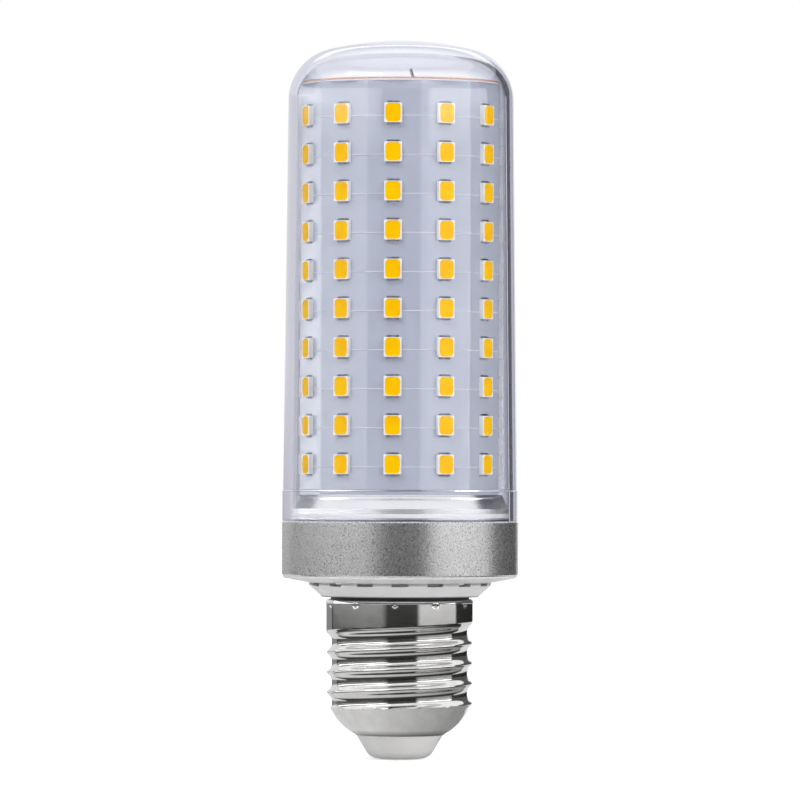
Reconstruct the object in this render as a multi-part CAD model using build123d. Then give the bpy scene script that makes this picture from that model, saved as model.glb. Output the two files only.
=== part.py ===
from build123d import *
import os
from math import atan2, ceil, cos, hypot, pi, radians, sin, sqrt, tan

# A corn-type light bulb on a 27 mm screw cap, upright on its centre contact with the dome at the top.
# The axis is Z. Angles round it are in degrees from the front, -Y, and grow towards +X.

# Centre contact: a riveted button under the cap
contact_radius = 3.6
contact_thickness = 0.45
contact_proud = 0.2
contact_edge = 0.15
rivet_radius = 1.4
rivet_head_radius = 2.2
rivet_head_height = 0.5
rivet_fit = 0.05

# Insulator: the pale cone between the contact and the screw shell
insulator_height = 4.2
insulator_foot_radius = 5.3
insulator_foot_round = 2.5
insulator_top_radius = 7.83
insulator_neck_height = 1.5
insulator_flange_radius = 9.0
insulator_flange_height = 1.0
insulator_fit = 0.1

# Screw shell: thin plated sheet with a rolled round thread, a plain band and a rolled lip
shell_wall = 0.4
shell_foot_width = 0.5
shoulder_height = 4.8
shoulder_top_radius = 12.6
shoulder_bulge = 0.45
shoulder_runout = 1.2
thread_pitch = 3.629
thread_crest_radius = 13.1
thread_depth = 0.85
thread_length = 14.6
thread_end_angle = 0.0
thread_crest_width = 0.36
thread_crest_bevel = 0.26
thread_bevel_depth = 0.16
thread_root_width = 1.7
thread_spare_turns = 1.5
band_proud = 0.14
band_height = 4.3
lip_height = 0.7
lip_proud = 0.26
stake_count = 11
stake_angle = -4.0
stake_size = 0.85
stake_depth = 0.3
stake_taper = 50.0
stake_drop = 0.3

# Plastic base: a vented cone with a neck inside the shell, a flange under the collar and a sleeve above
neck_fit = 0.1
neck_wall = 1.3
neck_clear = 0.6
neck_ledge_width = 1.6
neck_ledge_height = 1.2
gap_height = 0.45
gap_depth = 1.05
cone_foot_radius = 14.05
cone_top_radius = 16.4
cone_height = 2.15
vent_count = 16
vent_width = 3.0
vent_height = 0.55
vent_wall_height = 0.4
flange_rise = 0.9
flange_edge = 0.35
flange_inset = 0.2
flange_round = 0.3
base_wall = 1.3
sleeve_rise = 4.0
snap_height = 6.0
snap_length = 1.2
snap_depth = 0.3
rail_width = 1.2
rail_reach = 1.8

# Collar: the turned ring that carries the cover and the boards
body_radius = 21.25
collar_height = 9.85
collar_edge = 0.25
collar_fit = 0.1
spigot_height = 4.7
spigot_lead_height = 2.5
spigot_lead_depth = 1.0
glue_groove_height = 0.7
glue_groove_depth = 0.5
glue_groove_drop = 3.4

# Clear cover: a drafted tube with a domed end
cover_inset = 0.05
cover_band_height = 5.5
cover_step = 0.13
cover_draft = 0.62
cover_wall = 1.5
cover_fit = 0.12
dome_shoulder_radius = 9.3
dome_crown_radius = 54.7
dome_clearance = 0.26

# Light-emitting packages
package_width = 3.1
package_height = 3.55
package_depth = 0.75
window_width = 2.65
window_height = 3.3
window_recess = 0.05
window_depth = 0.3
row_count = 10
row_pitch = 6.92
column_count = 12
column_phase = -4.4
package_clearance = 0.42

# Folded board and the round board on its end
board_thickness = 0.8
board_bend_radius = 1.6
board_foot_margin = 5.4
board_head_margin = 5.68
board_seam = 0.4
board_fit = 0.15
end_board_thickness = 0.5
end_board_overhang = 0.4
end_package_count = 8
end_ring_radius = 7.0

# Driver board and what stands on it, each part a gap above the one below
driver_thickness = 1.0
driver_margin = 0.6
driver_fit = 0.15
part_gap = 1.4
fuse_radius = 1.3
fuse_length = 7.0
choke_radius = 3.7
choke_length = 7.5
choke_flange = 1.0
choke_winding_depth = 1.0
input_can_radius = 4.0
input_can_length = 8.5
output_can_radius = 3.15
output_can_length = 8.0
can_crimp_depth = 0.35
can_crimp_height = 1.05
can_rise = 2.6
can_gap = 0.6
rectifier_size = (6.4, 2.4, 4.9)
chip_size = (5.0, 1.5, 3.9)
diode_size = (2.6, 2.2, 4.3)
resistor_size = (1.6, 0.6, 3.2)
resistor_count = 4
resistor_pitch = 3.6
seat_gap = 0.05

# Wires
wire_radius = 0.5
wire_bend = 1.2
wire_fit = 0.25
wire_reach = 4.8
wire_landing = 3.6
bare_radius = 0.25
bare_length = 1.6
bare_rise = 0.15
bare_lean = 18.0
lead_angle = 8.2
lead_bend = 3.6

# Heights, from the contact upwards
insulator_foot = contact_proud
shell_foot = insulator_foot + insulator_height
thread_foot = shell_foot + shoulder_height
band_foot = thread_foot + thread_length
shell_top = band_foot + band_height + lip_height
cone_foot = shell_top + gap_height
cone_top = cone_foot + cone_height
flange_foot = cone_top + vent_wall_height
collar_foot = flange_foot + flange_rise + flange_edge
collar_top = collar_foot + collar_height
spigot_top = collar_top + spigot_height
first_row = spigot_top + board_foot_margin
last_row = first_row + (row_count - 1) * row_pitch
board_top = last_row + board_head_margin
end_board_top = board_top + end_board_thickness
groove_top = spigot_top - glue_groove_drop
groove_foot = groove_top - glue_groove_height
neck_foot = thread_foot + neck_clear
driver_foot = neck_foot + neck_ledge_height

# Heights of the parts on the driver board, above its foot
landing_top = wire_landing + wire_radius
fuse_height = landing_top + part_gap + fuse_radius
choke_height = fuse_height + fuse_radius + part_gap + choke_radius
largest_can = max(input_can_radius, output_can_radius)
can_height = cone_top + can_rise + largest_can - driver_foot
lead_height = can_height + largest_can + part_gap + wire_radius
driver_height = lead_height + wire_radius + driver_margin
rectifier_height = landing_top + part_gap + rectifier_size[2] / 2
chip_height = rectifier_height + (rectifier_size[2] + chip_size[2]) / 2 + part_gap
diode_height = chip_height + (chip_size[2] + diode_size[2]) / 2 + part_gap
resistor_height = diode_height + (diode_size[2] + resistor_size[2]) / 2 + part_gap

# Radii that follow from the fits
shell_mouth_radius = insulator_top_radius - shell_foot_width / 2
shell_bore = thread_crest_radius - thread_depth - shell_wall
band_radius = thread_crest_radius + band_proud
band_bore = band_radius - shell_wall
neck_radius = shell_bore - neck_fit
neck_band_radius = band_bore - neck_fit
neck_bore = neck_radius - neck_wall
cover_band_radius = body_radius - cover_inset
cover_step_height = collar_top + cover_band_height


def cover_radius(height):
    """Outer radius of the drafted tube at a height."""
    return cover_band_radius - cover_step - (height - cover_step_height) * tan(radians(cover_draft))


def inner_cover_radius(height):
    return cover_radius(height) - cover_wall


package_reach = inner_cover_radius(last_row + package_height / 2) - package_clearance
board_apothem = sqrt(package_reach**2 - (package_width / 2) ** 2) - package_depth
sleeve_radius = board_apothem - board_thickness - board_fit
sleeve_bore = sleeve_radius - base_wall
collar_bore = sleeve_radius + collar_fit
spigot_radius = inner_cover_radius(spigot_top) - cover_fit
end_board_radius = board_apothem + end_board_overhang
lead_radius = sleeve_bore - wire_radius - wire_fit


def turned(outline):
    """A solid of revolution from a closed outline drawn as (radius, height)."""
    return revolve(Plane.XZ * make_face(outline), Axis.Z)


def tube(inner, outer, foot, top):
    return Pos(0, 0, foot) * extrude(Circle(outer) - Circle(inner), top - foot)


def rod(radius, foot, top):
    return Pos(0, 0, foot) * extrude(Circle(radius), top - foot)


def block(width, depth, height, place):
    """A box centred on X and Z, with its back face on Y = 0 and its depth towards -Y."""
    return Pos(*place) * Box(width, depth, height, align=(Align.CENTER, Align.MAX, Align.CENTER))


def group(solids):
    return Compound(children=[s for piece in solids for s in piece.solids()])


def centre_contact():
    head_foot = insulator_foot + insulator_height + insulator_neck_height + insulator_flange_height
    head_top = head_foot + rivet_head_height
    return turned(
        Polyline(
            (0, 0),
            (contact_radius - contact_edge, 0),
            (contact_radius, contact_edge),
            (contact_radius, contact_thickness),
            (rivet_radius, contact_thickness),
            (rivet_radius, head_foot),
            (rivet_head_radius, head_foot),
            (rivet_head_radius, head_top),
            (0, head_top),
            close=True,
        )
    )


def cap_insulator():
    flange_under = shell_foot + insulator_neck_height
    flange_top = flange_under + insulator_flange_height
    hole = rivet_radius + rivet_fit
    recess = contact_radius + rivet_fit
    outline = make_face(
        Polyline(
            (recess, insulator_foot),
            (insulator_foot_radius, insulator_foot),
            (insulator_top_radius, shell_foot),
            (shell_mouth_radius - insulator_fit, shell_foot),
            (shell_mouth_radius - insulator_fit, flange_under),
            (insulator_flange_radius, flange_under),
            (insulator_flange_radius, flange_top),
            (hole, flange_top),
            (hole, contact_thickness),
            (recess, contact_thickness),
            close=True,
        )
    )
    foot = outline.vertices().sort_by_distance((insulator_foot_radius, insulator_foot, 0))[0]
    return revolve(Plane.XZ * fillet(foot, insulator_foot_round), Axis.Z)


def shoulder_envelope():
    """The domed foot of the shell, filled in and carried up past the band."""
    foot_radius = shell_mouth_radius + shell_foot_width
    over = band_radius + lip_proud
    bulge = SagittaArc((foot_radius, shell_foot), (shoulder_top_radius, thread_foot), -shoulder_bulge)
    sides = Polyline(
        (shoulder_top_radius, thread_foot),
        (over, thread_foot + shoulder_runout),
        (over, shell_top),
        (0, shell_top),
        (0, shell_foot),
        (foot_radius, shell_foot),
    )
    return turned([bulge, sides])


def threaded_core():
    """A core with one rounded ridge wound up it, from inside the shoulder to inside the band."""
    turns = ceil(thread_length / thread_pitch) + thread_spare_turns
    top = band_foot + thread_root_width
    foot = top - turns * thread_pitch
    root = thread_crest_radius - thread_depth
    half_crest = thread_crest_width / 2
    half_bevel = half_crest + thread_crest_bevel
    half_root = (thread_pitch - thread_root_width) / 2
    bevel_radius = thread_crest_radius - thread_bevel_depth
    sunk = root - shell_wall / 4
    flank = (half_root - half_bevel) / (bevel_radius - root)
    half_foot = half_root + flank * (root - sunk)
    section = Polyline(
        (sunk, foot - half_foot),
        (bevel_radius, foot - half_bevel),
        (thread_crest_radius, foot - half_crest),
        (thread_crest_radius, foot + half_crest),
        (bevel_radius, foot + half_bevel),
        (sunk, foot + half_foot),
        close=True,
    )
    path = Helix(thread_pitch, top - foot, root, center=(0, 0, foot))
    ridge = sweep(Plane.XZ * make_face(section), path=path, is_frenet=True)
    core = rod(root, foot - thread_pitch, top + thread_pitch)
    return Rot(0, 0, thread_end_angle - 90 - 360 * (band_foot - foot) / thread_pitch) * (core + ridge)


def screw_shell():
    lip_foot = band_foot + band_height
    lip = SagittaArc((band_radius, lip_foot), (band_radius, shell_top), -lip_proud)
    sides = Polyline(
        (band_radius, shell_top),
        (0, shell_top),
        (0, band_foot),
        (band_radius, band_foot),
        (band_radius, lip_foot),
    )
    band = turned([lip, sides])
    envelope = shoulder_envelope()
    wall_rise = shell_wall * sqrt(2)
    hollow = Pos(0, 0, wall_rise) * envelope & rod(shell_bore, shell_foot, shell_top)
    hollow += rod(shell_mouth_radius, shell_foot - shell_wall, thread_foot)
    hollow += rod(band_bore, band_foot + shell_wall, shell_top)
    shell = (threaded_core() & envelope) + band - hollow
    punch = Plane((0, -band_radius, lip_foot - stake_drop), x_dir=(1, 0, 0), z_dir=(0, 1, 0))
    diamond = Rot(0, 0, 45) * Rectangle(stake_size, stake_size)
    stake = punch * extrude(diamond, stake_depth, taper=stake_taper)
    stake += punch * extrude(diamond, -stake_depth)
    for i in range(stake_count):
        shell -= Rot(0, 0, stake_angle + 360 * i / stake_count) * stake
    return shell


def plastic_base():
    flange_radius = body_radius - flange_inset
    neck_step = band_foot + shell_wall + neck_fit
    sleeve_top = spigot_top + sleeve_rise
    snap = collar_foot + snap_height
    ledge_radius = neck_bore - neck_ledge_width
    outline = make_face(
        Polyline(
            (ledge_radius, neck_foot),
            (neck_radius, neck_foot),
            (neck_radius, neck_step),
            (neck_band_radius, neck_step),
            (neck_band_radius, shell_top),
            (band_radius + lip_proud - gap_depth, shell_top),
            (band_radius + lip_proud - gap_depth, cone_foot),
            (cone_foot_radius, cone_foot),
            (cone_top_radius, cone_top),
            (cone_top_radius, flange_foot),
            (flange_radius, collar_foot - flange_edge),
            (flange_radius, collar_foot),
            (sleeve_radius, collar_foot),
            (sleeve_radius, snap),
            (sleeve_radius + snap_depth, snap),
            (sleeve_radius, snap + snap_length),
            (sleeve_radius, sleeve_top),
            (sleeve_bore, sleeve_top),
            (sleeve_bore, collar_foot),
            (cone_top_radius - base_wall, cone_top),
            (neck_bore, cone_foot),
            (neck_bore, driver_foot),
            (ledge_radius, driver_foot),
            close=True,
        )
    )
    edge = outline.vertices().sort_by_distance((flange_radius, collar_foot - flange_edge, 0))[0]
    base = revolve(Plane.XZ * fillet(edge, flange_round), Axis.Z)
    vent_length = 2 * (cone_top_radius - neck_bore)
    vent = Pos(0, -cone_top_radius, flange_foot - vent_height / 2) * Box(vent_width, vent_length, vent_height)
    for i in range(vent_count):
        base -= Rot(0, 0, 360 * i / vent_count) * vent
    rail_length = rail_reach + neck_wall / 2
    rail_x = neck_bore - rail_reach + rail_length / 2
    rail_y = driver_thickness / 2 + driver_fit + rail_width / 2
    upright = (Align.CENTER, Align.CENTER, Align.MIN)
    rail = Box(rail_length, rail_width, shell_top - driver_foot, align=upright)
    for x in (-rail_x, rail_x):
        for y in (-rail_y, rail_y):
            base += Pos(x, y, driver_foot) * rail
    return base


def collar():
    snap = collar_foot + snap_height
    return turned(
        Polyline(
            (collar_bore, collar_foot),
            (body_radius - collar_edge, collar_foot),
            (body_radius, collar_foot + collar_edge),
            (body_radius, collar_top - collar_edge),
            (body_radius - collar_edge, collar_top),
            (spigot_radius, collar_top),
            (spigot_radius, groove_foot),
            (spigot_radius - glue_groove_depth, groove_foot),
            (spigot_radius - glue_groove_depth, groove_top),
            (spigot_radius, groove_top),
            (spigot_radius, spigot_top - spigot_lead_height),
            (spigot_radius - spigot_lead_depth, spigot_top),
            (collar_bore, spigot_top),
            (collar_bore, snap + snap_length + collar_fit),
            (collar_bore + snap_depth, snap + snap_length + collar_fit),
            (collar_bore + snap_depth, snap - collar_fit),
            (collar_bore, snap - collar_fit),
            close=True,
        )
    )


def glue_ring():
    """Silicone that fills the spigot's groove out to the cover."""
    return tube(spigot_radius - glue_groove_depth, inner_cover_radius(groove_top), groove_foot, groove_top)


def dome_arcs(wall, spring_height):
    """Shoulder and crown arcs of the dome, tangent where they meet, a wall thickness inside the outer face."""
    centre_radius = cover_radius(spring_height) - dome_shoulder_radius
    drop = sqrt((dome_crown_radius - dome_shoulder_radius) ** 2 - centre_radius**2)
    meeting_angle = atan2(drop, centre_radius)

    def on_shoulder(angle):
        radius = dome_shoulder_radius - wall
        return centre_radius + radius * cos(angle), spring_height + radius * sin(angle)

    def on_crown(angle):
        radius = dome_crown_radius - wall
        return radius * cos(angle), spring_height - drop + radius * sin(angle)

    crown_middle = (meeting_angle + pi / 2) / 2
    apex = (0, on_crown(pi / 2)[1])
    return [
        ThreePointArc(on_shoulder(0), on_shoulder(meeting_angle / 2), on_shoulder(meeting_angle)),
        ThreePointArc(on_crown(meeting_angle), on_crown(crown_middle), apex),
    ]


def clear_cover():
    """The dome springs just low enough for its inside to clear the rim of the end board."""
    inner_shoulder = dome_shoulder_radius - cover_wall
    centre = inner_cover_radius(end_board_top) - inner_shoulder
    reach = end_board_radius + dome_clearance - centre
    spring = end_board_top - sqrt(inner_shoulder**2 - reach**2)
    outer_arcs = dome_arcs(0, spring)
    inner_arcs = dome_arcs(cover_wall, spring)
    outer_apex = outer_arcs[1] @ 1
    inner_apex = inner_arcs[1] @ 1
    outer_side = Polyline(
        (inner_cover_radius(collar_top), collar_top),
        (cover_band_radius, collar_top),
        (cover_band_radius, cover_step_height),
        (cover_radius(cover_step_height), cover_step_height),
        outer_arcs[0] @ 0,
    )
    inner_side = Line(inner_arcs[0] @ 0, (inner_cover_radius(collar_top), collar_top))
    return turned([outer_side, *outer_arcs, Line(outer_apex, inner_apex), *inner_arcs, inner_side])


def folded_outline(apothem, bend_radius):
    turn = column_phase - 90 - 180 / column_count
    polygon = RegularPolygon(apothem, column_count, major_radius=False, rotation=turn)
    return fillet(polygon.vertices(), bend_radius)


def led_board():
    """A sheet folded between the columns into a tube, with its seam on a fold at the back."""
    outer = folded_outline(board_apothem, board_bend_radius)
    inner = folded_outline(board_apothem - board_thickness, board_bend_radius - board_thickness)
    sheet = Pos(0, 0, spigot_top) * extrude(outer - inner, board_top - spigot_top)
    back_fold = column_phase + 360 * (column_count // 2 + 0.5) / column_count
    cut = Box(board_seam, board_apothem * 2, board_top * 2, align=(Align.CENTER, Align.MAX, Align.CENTER))
    return sheet - Rot(0, 0, back_fold) * cut


def lead_point(angle):
    turn = radians(angle)
    return lead_radius * sin(turn), -lead_radius * cos(turn)


def end_board():
    disc = rod(end_board_radius, board_top, end_board_top)
    for angle in (lead_angle, lead_angle + 180):
        x, y = lead_point(angle)
        disc -= Pos(x, y) * rod(bare_radius + seat_gap, board_top, end_board_top)
    return disc


def package():
    """One package lying on Y = 0 and facing -Y, with a sunk window for its phosphor."""
    pocket_floor = package_depth - window_recess - window_depth
    body = block(package_width, package_depth, package_height, (0, 0, 0))
    return body - block(window_width, package_depth, window_height, (0, -pocket_floor, 0))


def window():
    pocket_floor = package_depth - window_recess - window_depth
    return block(window_width, window_depth, window_height, (0, -pocket_floor, 0))


def column(piece, index):
    turn = Rot(0, 0, column_phase + 360 * index / column_count)
    rows = [first_row + i * row_pitch for i in range(row_count)]
    return group([turn * Pos(0, -board_apothem, height) * piece for height in rows])


def end_ring(piece):
    """Packages on the end board, facing up, with their long sides along the radius."""
    up = Pos(0, -end_ring_radius, end_board_top) * Rot(-90, 0, 0)
    step = 360 / end_package_count
    return group([Rot(0, 0, step * (i + 0.5)) * up * piece for i in range(end_package_count)])


def driver_board():
    half_width = sqrt((neck_bore - driver_fit) ** 2 - (driver_thickness / 2) ** 2)
    return Pos(0, 0, driver_foot) * Box(
        2 * half_width, driver_thickness, driver_height, align=(Align.CENTER, Align.CENTER, Align.MIN)
    )


def on_front(piece, x, height):
    """Stands a piece that points along +Z on the front of the driver board."""
    face = Plane((x, -driver_thickness / 2, driver_foot + height), x_dir=(1, 0, 0), z_dir=(0, -1, 0))
    return face * piece


def on_back(size, x, height):
    width, depth, tall = size
    place = (x, driver_thickness / 2, driver_foot + height)
    return Pos(*place) * Box(width, depth, tall, align=(Align.CENTER, Align.MIN, Align.CENTER))


def fuse_resistor():
    lying = Pos(0, 0, fuse_radius + seat_gap) * Rot(0, 90, 0) * Cylinder(fuse_radius, fuse_length)
    return on_front(lying, 0, fuse_height)


def choke_core():
    waist = choke_radius - choke_winding_depth
    core = rod(waist, 0, choke_length)
    core += rod(choke_radius, 0, choke_flange)
    core += rod(choke_radius, choke_length - choke_flange, choke_length)
    return on_front(core, 0, choke_height)


def choke_winding():
    waist = choke_radius - choke_winding_depth
    coil = tube(waist + seat_gap, choke_radius - seat_gap, choke_flange, choke_length - choke_flange)
    return on_front(coil, 0, choke_height)


def can(radius, length):
    """A capacitor can with the rolled crimp that holds its seal."""
    return turned(
        Polyline(
            (0, 0),
            (radius, 0),
            (radius, can_crimp_height - can_crimp_depth),
            (radius - can_crimp_depth, can_crimp_height),
            (radius, can_crimp_height + can_crimp_depth),
            (radius, length),
            (0, length),
            close=True,
        )
    )


def input_capacitor():
    return on_front(can(input_can_radius, input_can_length), -input_can_radius - can_gap / 2, can_height)


def output_capacitor():
    return on_front(can(output_can_radius, output_can_length), output_can_radius + can_gap / 2, can_height)


def chip_resistors():
    first = -(resistor_count - 1) / 2
    places = [(first + i) * resistor_pitch for i in range(resistor_count)]
    return group([on_back(resistor_size, x, resistor_height) for x in places])


def wire(points, bend):
    path = FilletPolyline(*points, radius=bend)
    start = Plane(points[0], z_dir=Vector(*points[1]) - Vector(*points[0]))
    return sweep(start * Circle(wire_radius), path)


def live_wire():
    """From the rivet's head up to the front of the driver board."""
    head = shell_foot + insulator_neck_height + insulator_flange_height + rivet_head_height
    landing = driver_foot + wire_landing
    face = -driver_thickness / 2
    turn = (head + driver_foot) / 2
    points = [
        (0, 0, head),
        (0, 0, turn),
        (0, face - wire_reach, driver_foot),
        (0, face - wire_reach, landing),
        (0, face, landing),
    ]
    return wire(points, wire_bend)


def neutral_wire():
    """From the back of the driver board down and out to the inside of the shell's shoulder."""
    landing = driver_foot + wire_landing
    face = driver_thickness / 2
    foot_radius = shell_mouth_radius + shell_foot_width
    run = shoulder_top_radius - foot_radius
    chord = hypot(run, shoulder_height)
    out, down = shoulder_height / chord, run / chord
    touch_radius = (foot_radius + shoulder_top_radius) / 2 + shoulder_bulge * out - shell_wall - seat_gap
    touch_height = shell_foot + shoulder_height / 2 - shoulder_bulge * down + shell_wall + seat_gap
    points = [
        (0, face, landing),
        (0, face + wire_reach, landing),
        (0, touch_radius - wire_reach * out, touch_height + wire_reach * down),
        (0, touch_radius, touch_height),
    ]
    return wire(points, wire_bend)


def supply_lead(angle, side):
    """From the driver board's head up the inside of the tube, its bare end through the end board."""
    x, y = lead_point(angle)
    start = driver_foot + lead_height
    face = side * driver_thickness / 2
    points = [
        (x, face, start),
        (x, y, start),
        (x, y, board_top),
    ]
    bend = end_board_top + bare_rise
    bare = Pos(x, y) * rod(bare_radius, board_top, bend)
    bare += Pos(x, y, bend) * Rot(0, -bare_lean, 0) * rod(bare_radius, -bare_rise / 2, bare_length)
    return wire(points, lead_bend) + bare


pieces = {
    "clear_cover": clear_cover(),
    "led_board": led_board(),
    "end_board": end_board(),
    "end_led_packages": end_ring(package()),
    "end_led_windows": end_ring(window()),
    "collar": collar(),
    "glue_ring": glue_ring(),
    "plastic_base": plastic_base(),
    "screw_shell": screw_shell(),
    "cap_insulator": cap_insulator(),
    "centre_contact": centre_contact(),
    "driver_board": driver_board(),
    "fuse_resistor": fuse_resistor(),
    "choke_core": choke_core(),
    "choke_winding": choke_winding(),
    "input_capacitor": input_capacitor(),
    "output_capacitor": output_capacitor(),
    "bridge_rectifier": on_back(rectifier_size, 0, rectifier_height),
    "driver_chip": on_back(chip_size, 0, chip_height),
    "output_diode": on_back(diode_size, 0, diode_height),
    "chip_resistors": chip_resistors(),
    "live_wire": live_wire(),
    "neutral_wire": neutral_wire(),
    "led_positive_wire": supply_lead(lead_angle, -1),
    "led_negative_wire": supply_lead(lead_angle + 180, 1),
}
for index in range(column_count):
    pieces[f"led_packages_{index + 1:02d}"] = column(package(), index)
    pieces[f"led_windows_{index + 1:02d}"] = column(window(), index)

os.makedirs("parts", exist_ok=True)
for name, piece in pieces.items():
    export_step(piece, f"parts/{name}.step")
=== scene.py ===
from math import atan2, cos, pi, radians, sin, sqrt, tan

import bmesh
import bpy
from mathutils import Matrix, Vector


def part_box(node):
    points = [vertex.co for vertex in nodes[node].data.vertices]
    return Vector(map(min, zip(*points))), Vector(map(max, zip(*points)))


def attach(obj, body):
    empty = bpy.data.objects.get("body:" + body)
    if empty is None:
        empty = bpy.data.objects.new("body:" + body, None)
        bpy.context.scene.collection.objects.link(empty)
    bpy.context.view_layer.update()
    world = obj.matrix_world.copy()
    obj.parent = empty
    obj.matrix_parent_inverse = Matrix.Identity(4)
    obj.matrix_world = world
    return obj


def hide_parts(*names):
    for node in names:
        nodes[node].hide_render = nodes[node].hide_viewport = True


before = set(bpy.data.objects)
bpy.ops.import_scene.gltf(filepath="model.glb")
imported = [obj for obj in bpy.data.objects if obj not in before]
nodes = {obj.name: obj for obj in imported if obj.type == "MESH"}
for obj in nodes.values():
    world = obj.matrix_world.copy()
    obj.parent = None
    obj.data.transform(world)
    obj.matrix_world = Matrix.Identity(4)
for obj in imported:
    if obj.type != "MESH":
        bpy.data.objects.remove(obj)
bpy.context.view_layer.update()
mm = 0.001

# Centre contact: a nickel-plated brass button, pressed from sheet and riveted through the insulator.
# It is the lowest piece of the bulb and the live side of the cap.


def place(tree, kind, inputs=None, **settings):
    """Adds a node. Each input is named or numbered, and is a plain value or another node's output."""
    node = tree.nodes.new(kind)
    for name, value in settings.items():
        setattr(node, name, value)
    for key, value in (inputs or {}).items():
        if isinstance(value, bpy.types.NodeSocket):
            tree.links.new(value, node.inputs[key])
        else:
            node.inputs[key].default_value = value
    return node


def first_of(tree, kind, inputs=None, **settings):
    """The first output of a new node."""
    return place(tree, kind, inputs, **settings).outputs[0]


def maths(tree, operation, *values):
    """A Math node's result, on values or on other nodes' outputs."""
    return first_of(tree, "ShaderNodeMath", dict(enumerate(values)), operation=operation)


def split(tree, vector):
    """A vector's parts along X, Y and Z."""
    return place(tree, "ShaderNodeSeparateXYZ", {0: vector}).outputs


def join(tree, x=0.0, y=0.0, z=0.0):
    """A vector from its parts along X, Y and Z."""
    return first_of(tree, "ShaderNodeCombineXYZ", {0: x, 1: y, 2: z})


def spot(tree):
    """Each point's place in the bulb's frame."""
    return place(tree, "ShaderNodeTexCoord").outputs["Object"]


def noise(tree, where, scale, detail, roughness=0.5):
    """A cloudy pattern of 0 to 1."""
    inputs = {"Vector": where, "Scale": scale, "Detail": detail, "Roughness": roughness}
    return place(tree, "ShaderNodeTexNoise", inputs).outputs["Fac"]


def ramp(tree, value, stops):
    """Colours along a value, as (place, colour) stops."""
    node = place(tree, "ShaderNodeValToRGB", {"Fac": value})
    elements = node.color_ramp.elements
    while len(elements) < len(stops):
        elements.new(0.5)
    for element, (position, colour) in zip(elements, stops):
        element.position = position
        element.color = (*colour, 1)
    return node.outputs["Color"]


def shades(tree, value, dark, light, start=0.3, end=0.7):
    """A colour that goes from dark to light while a value goes from start to end."""
    return ramp(tree, value, [(start, dark), (end, light)])


def spread(tree, value, low, high, start=0.0, end=1.0, **settings):
    """A number that goes from low to high while a value goes from start to end."""
    inputs = {"Value": value, "From Min": start, "From Max": end, "To Min": low, "To Max": high}
    return place(tree, "ShaderNodeMapRange", inputs, **settings).outputs["Result"]


def bumped(tree, height, strength, depth):
    """A normal from a height of 0 to 1 that stands for a depth in millimetres."""
    inputs = {"Height": height, "Strength": strength, "Distance": depth * mm}
    return place(tree, "ShaderNodeBump", inputs).outputs["Normal"]


def finish(name, **plain):
    """A new material with its Principled shader, whose plain sockets are set here."""
    material = bpy.data.materials.new(name)
    material.use_nodes = True
    tree = material.node_tree
    shader = tree.nodes["Principled BSDF"]
    for socket, value in plain.items():
        shader.inputs[socket.replace("_", " ")].default_value = value
    return material, tree, shader


def feed(tree, shader, **sockets):
    """Links outputs to a shader's sockets."""
    for socket, output in sockets.items():
        tree.links.new(output, shader.inputs[socket.replace("_", " ")])


def dress(node, material):
    """Gives a CAD node its finish."""
    nodes[node].data.materials.clear()
    nodes[node].data.materials.append(material)


def effect(name, inputs, outputs):
    """An empty shader group with number inputs and their defaults, and number outputs."""
    group = bpy.data.node_groups.new(name, "ShaderNodeTree")
    for socket, default in inputs.items():
        made = group.interface.new_socket(socket, in_out="INPUT", socket_type="NodeSocketFloat")
        made.default_value = default
    for socket in outputs:
        group.interface.new_socket(socket, in_out="OUTPUT", socket_type="NodeSocketFloat")
    return group, group.nodes.new("NodeGroupInput").outputs, group.nodes.new("NodeGroupOutput").inputs


def use(tree, group, **values):
    """Places a shader group in a material with its own values."""
    node = tree.nodes.new("ShaderNodeGroup")
    node.node_tree = group
    for socket, value in values.items():
        node.inputs[socket.replace("_", " ")].default_value = value
    return node.outputs


def drawn_lines():
    """Fine lines that run round the axis, as drawing and turning leave them on metal."""
    group, given, made = effect("drawn lines", {"Line width": 0.2, "Waver": 0.04}, ["Lines", "Cloud"])
    cloud_scale = 420.0
    here = spot(group)
    x, y, z = split(group, here)
    around_x = maths(group, "MULTIPLY", x, given["Waver"])
    around_y = maths(group, "MULTIPLY", y, given["Waver"])
    line_scale = maths(group, "DIVIDE", 1 / mm, given["Line width"])
    group.links.new(noise(group, join(group, around_x, around_y, z), line_scale, 3.0), made["Lines"])
    group.links.new(noise(group, here, cloud_scale, 2.0), made["Cloud"])
    return group


drawn = drawn_lines()


def contact_plate():
    material, tree, shader = finish("contact plate", Metallic=1.0)
    marks = use(tree, drawn, Line_width=0.35, Waver=0.5)
    colour = shades(tree, marks["Cloud"], (0.62, 0.58, 0.5), (0.78, 0.76, 0.72), 0.35, 0.65)
    roughness = spread(tree, marks["Lines"], 0.22, 0.4)
    bump = bumped(tree, marks["Lines"], 0.15, 0.02)
    feed(tree, shader, Base_Color=colour, Roughness=roughness, Normal=bump)
    return material


dress("centre_contact", contact_plate())

# Cap insulator: the pale cone between the contact and the screw shell, moulded in one piece.
# Its flange is caught inside the shell, and its faint mottle is the moulding's own.


def moulded_skin():
    """The slight peel and clouding of a moulded skin."""
    group, given, made = effect("moulded skin", {"Peel": 0.12, "Cloud": 6.0}, ["Height", "Shade"])
    here = spot(group)
    fine = maths(group, "DIVIDE", 1 / mm, given["Peel"])
    broad = maths(group, "DIVIDE", 1 / mm, given["Cloud"])
    group.links.new(noise(group, here, fine, 2.0), made["Height"])
    group.links.new(noise(group, here, broad, 3.0), made["Shade"])
    return group


skin = moulded_skin()


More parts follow.
